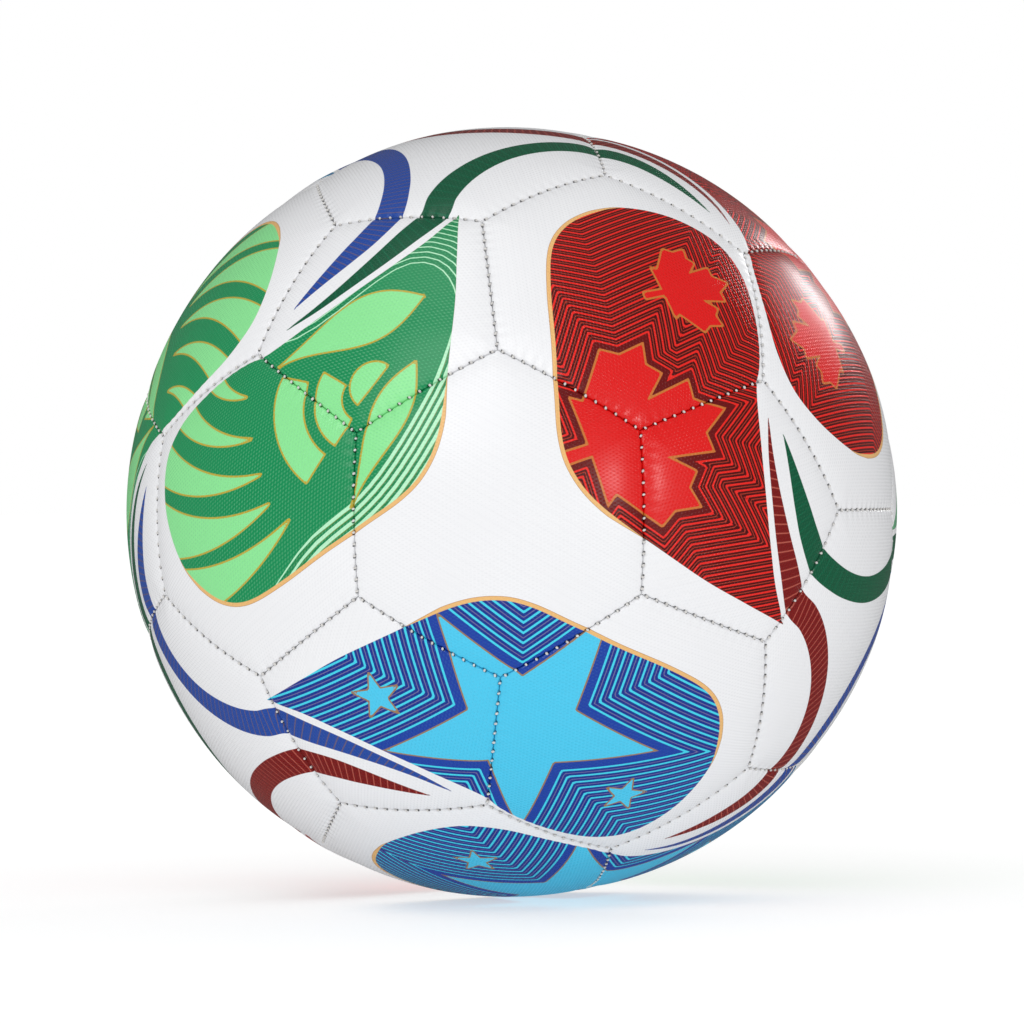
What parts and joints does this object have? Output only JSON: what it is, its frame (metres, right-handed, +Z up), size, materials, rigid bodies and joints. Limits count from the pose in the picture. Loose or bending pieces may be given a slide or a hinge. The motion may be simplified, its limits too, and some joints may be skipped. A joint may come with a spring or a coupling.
{
  "type": "soccer ball",
  "caption": "Full-size stitched soccer ball: hexagon and pentagon cover panels sewn over an air bladder with a push-in valve plug.",
  "frame": {"origin": "centre of the ball", "axes": "+Y out through the valve, +Z up, -Y the middle of the white front hexagon, which has a corner pointing up"},
  "size_m": [0.22, 0.2199, 0.22],
  "materials": {
    "white_cover": "embossed satin-gloss synthetic leather, printed with three coloured corners",
    "band_cover": "embossed satin-gloss synthetic leather, printed with three curved bands",
    "red_cover": "embossed satin-gloss synthetic leather, printed red on white",
    "green_cover": "embossed satin-gloss synthetic leather, printed green on white",
    "blue_cover": "embossed satin-gloss synthetic leather, printed blue on white",
    "foam": "closed-cell foam sheet",
    "lining": "plain-woven polyester cotton backing",
    "thread": "waxed twisted polyester thread",
    "bladder_rubber": "matt butyl rubber",
    "valve_rubber": "matt moulded rubber",
    "plug_rubber": "matt moulded rubber"
  },
  "bodies": {
    "ball": {"band_hex_panel_1": "band_cover", "band_hex_panel_2": "band_cover", "band_hex_panel_3": "band_cover", "band_hex_panel_4": "band_cover", "bladder": "bladder_rubber", "blue_hex_panel_1": "blue_cover", "blue_hex_panel_2": "blue_cover", "blue_hex_panel_3": "blue_cover", "blue_hex_panel_4": "blue_cover", "blue_pent_panel_1": "blue_cover", "blue_pent_panel_2": "blue_cover", "blue_pent_panel_3": "blue_cover", "blue_pent_panel_4": "blue_cover", "blue_pent_seam_thread_1": "thread", "blue_pent_seam_thread_2": "thread", "blue_pent_seam_thread_3": "thread", "blue_pent_seam_thread_4": "thread", "green_hex_panel_1": "green_cover", "green_hex_panel_2": "green_cover", "green_hex_panel_3": "green_cover", "green_hex_panel_4": "green_cover", "green_pent_panel_1": "green_cover", "green_pent_panel_2": "green_cover", "green_pent_panel_3": "green_cover", "green_pent_panel_4": "green_cover", "green_pent_seam_thread_1": "thread", "green_pent_seam_thread_2": "thread", "green_pent_seam_thread_3": "thread", "green_pent_seam_thread_4": "thread", "hex_foam_pads": "foam", "hex_linings": "lining", "hex_seam_threads": "thread", "pent_foam_pads": "foam", "pent_linings": "lining", "red_hex_panel_1": "red_cover", "red_hex_panel_2": "red_cover", "red_hex_panel_3": "red_cover", "red_hex_panel_4": "red_cover", "red_pent_panel_1": "red_cover", "red_pent_panel_2": "red_cover", "red_pent_panel_3": "red_cover", "red_pent_panel_4": "red_cover", "red_pent_seam_thread_1": "thread", "red_pent_seam_thread_2": "thread", "red_pent_seam_thread_3": "thread", "red_pent_seam_thread_4": "thread", "valve_patch": "bladder_rubber", "valve_sleeve": "valve_rubber", "white_hex_panel_1": "white_cover", "white_hex_panel_2": "white_cover", "white_hex_panel_3": "white_cover", "white_hex_panel_4": "white_cover"},
    "plug": {"valve_plug": "plug_rubber"}
  },
  "joints": [
    {"name": "plug_pull", "type": "slide", "parent": "ball", "child": "plug", "axis": [0, 1, 0], "range_m": [0, 0.018]}
  ]
}
